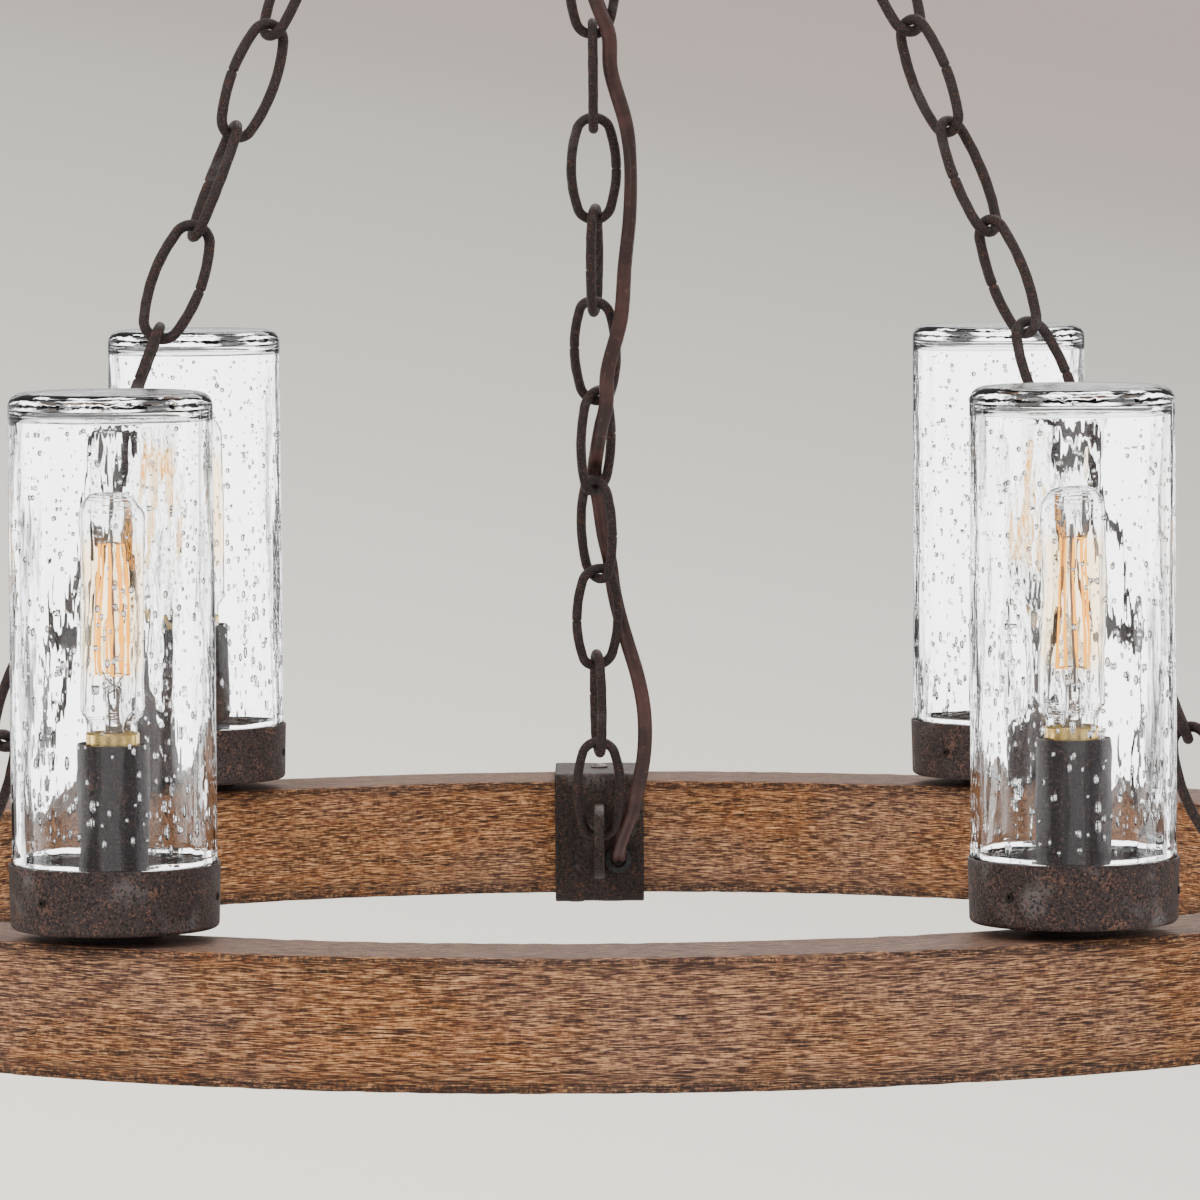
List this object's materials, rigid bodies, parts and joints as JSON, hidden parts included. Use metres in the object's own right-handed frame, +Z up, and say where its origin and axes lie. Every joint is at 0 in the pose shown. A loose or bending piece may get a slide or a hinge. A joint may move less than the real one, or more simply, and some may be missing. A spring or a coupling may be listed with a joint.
{
  "type": "chandelier",
  "caption": "Wagon wheel rim chandelier: round wooden ring hung on iron chain legs, carrying closed-top seeded glass lamps in iron cups, with a chain and canopy ceiling mount",
  "frame": {"origin": "middle of the ceiling face, between the two slots of the crossbar; the chandelier hangs below it", "axes": "+Z up into the ceiling, the wheel's axis and the longest extent; +Y toward the back chain leg that carries the cord; +X toward lamp 1 and along the crossbar"},
  "size_m": [1.0406, 1.009, 1.1047],
  "materials": {
    "rim_wood": "weathered brown wood, grain along the rim, greyer on top",
    "cover_wood": "plain brown wood strip",
    "chain_iron": "dark oiled iron with faint rust",
    "strap_iron": "blackened iron plate with rust specks",
    "dark_iron": "dark bronze-black finish, satin",
    "cup_iron": "dark iron with rust-brown specks, satin",
    "spacer_iron": "black, matte",
    "screw_steel": "blackened steel",
    "zinc_steel": "zinc plated",
    "seeded_glass": "clear seeded glass with small round bubbles",
    "bulb_glass": "thin clear glass with a faint amber tint",
    "brass": "brass screw shell",
    "filament": "glowing filament on its supports",
    "socket_body": "dark phenolic",
    "black_rubber": "matte black",
    "cord_sheath": "reddish-brown twin lead, satin",
    "wire_sleeve": "black wire sleeve"
  },
  "bodies": {
    "ceiling_mount": {"crossbar": "zinc_steel", "canopy": "dark_iron", "canopy_loop": "dark_iron", "collar_nut": "dark_iron", "canopy_bush": "black_rubber", "canopy_cord": "cord_sheath"},
    "link": {"hanging_link": "chain_iron", "link_cord": "cord_sheath"},
    "wheel": {"gathering_ring": "chain_iron", "back_leg_chain": "chain_iron", "left_leg_chain": "chain_iron", "right_leg_chain": "chain_iron", "back_strap": "strap_iron", "left_strap": "strap_iron", "right_strap": "strap_iron", "strap_screws": "screw_steel", "cord_bush": "black_rubber", "wheel_rim": "rim_wood", "groove_cover": "cover_wood", "rim_wiring": "wire_sleeve", "leg_cord": "cord_sheath", "cup_spacers": "spacer_iron", "lamp_pipes": "zinc_steel", "pipe_nuts": "zinc_steel", "lamp_sockets": "socket_body", "socket_covers": "dark_iron", "set_screws": "screw_steel", "cup_1": "cup_iron", "cup_2": "cup_iron", "cup_3": "cup_iron", "cup_4": "cup_iron", "cup_5": "cup_iron", "cup_6": "cup_iron"},
    "shade_1": {"shade_1": "seeded_glass"},
    "shade_2": {"shade_2": "seeded_glass"},
    "shade_3": {"shade_3": "seeded_glass"},
    "shade_4": {"shade_4": "seeded_glass"},
    "shade_5": {"shade_5": "seeded_glass"},
    "shade_6": {"shade_6": "seeded_glass"},
    "bulb_1": {"bulb_1": "bulb_glass", "bulb_base_1": "brass", "filament_1": "filament"},
    "bulb_2": {"bulb_2": "bulb_glass", "bulb_base_2": "brass", "filament_2": "filament"},
    "bulb_3": {"bulb_3": "bulb_glass", "bulb_base_3": "brass", "filament_3": "filament"},
    "bulb_4": {"bulb_4": "bulb_glass", "bulb_base_4": "brass", "filament_4": "filament"},
    "bulb_5": {"bulb_5": "bulb_glass", "bulb_base_5": "brass", "filament_5": "filament"},
    "bulb_6": {"bulb_6": "bulb_glass", "bulb_base_6": "brass", "filament_6": "filament"}
  },
  "joints": [
    {"name": "link_swing", "type": "hinge", "parent": "ceiling_mount", "child": "link", "pos_m": [0, 0, -0.0684], "axis": [1, 0, 0], "range_deg": [-30, 30], "deforming": ["canopy_cord"]},
    {"name": "wheel_swing", "type": "hinge", "parent": "link", "child": "wheel", "pos_m": [0, 0, -0.1251], "axis": [0, 1, 0], "range_deg": [-30, 30], "deforming": ["link_cord"]},
    {"name": "shade_1_lift", "type": "slide", "parent": "wheel", "child": "shade_1", "axis": [0, 0, 1], "range_m": [0, 0.27]},
    {"name": "shade_2_lift", "type": "slide", "parent": "wheel", "child": "shade_2", "axis": [0, 0, 1], "range_m": [0, 0.27]},
    {"name": "shade_3_lift", "type": "slide", "parent": "wheel", "child": "shade_3", "axis": [0, 0, 1], "range_m": [0, 0.27]},
    {"name": "shade_4_lift", "type": "slide", "parent": "wheel", "child": "shade_4", "axis": [0, 0, 1], "range_m": [0, 0.27]},
    {"name": "shade_5_lift", "type": "slide", "parent": "wheel", "child": "shade_5", "axis": [0, 0, 1], "range_m": [0, 0.27]},
    {"name": "shade_6_lift", "type": "slide", "parent": "wheel", "child": "shade_6", "axis": [0, 0, 1], "range_m": [0, 0.27]},
    {"name": "bulb_1_turn", "type": "hinge", "parent": "wheel", "child": "bulb_1", "pos_m": [0.4685, 0, 0], "axis": [0, 0, 1], "range_deg": [0, 1800]},
    {"name": "bulb_2_turn", "type": "hinge", "parent": "wheel", "child": "bulb_2", "pos_m": [0.23425, 0.40573, 0], "axis": [0, 0, 1], "range_deg": [0, 1800]},
    {"name": "bulb_3_turn", "type": "hinge", "parent": "wheel", "child": "bulb_3", "pos_m": [-0.23425, 0.40573, 0], "axis": [0, 0, 1], "range_deg": [0, 1800]},
    {"name": "bulb_4_turn", "type": "hinge", "parent": "wheel", "child": "bulb_4", "pos_m": [-0.4685, 0, 0], "axis": [0, 0, 1], "range_deg": [0, 1800]},
    {"name": "bulb_5_turn", "type": "hinge", "parent": "wheel", "child": "bulb_5", "pos_m": [-0.23425, -0.40573, 0], "axis": [0, 0, 1], "range_deg": [0, 1800]},
    {"name": "bulb_6_turn", "type": "hinge", "parent": "wheel", "child": "bulb_6", "pos_m": [0.23425, -0.40573, 0], "axis": [0, 0, 1], "range_deg": [0, 1800]}
  ]
}
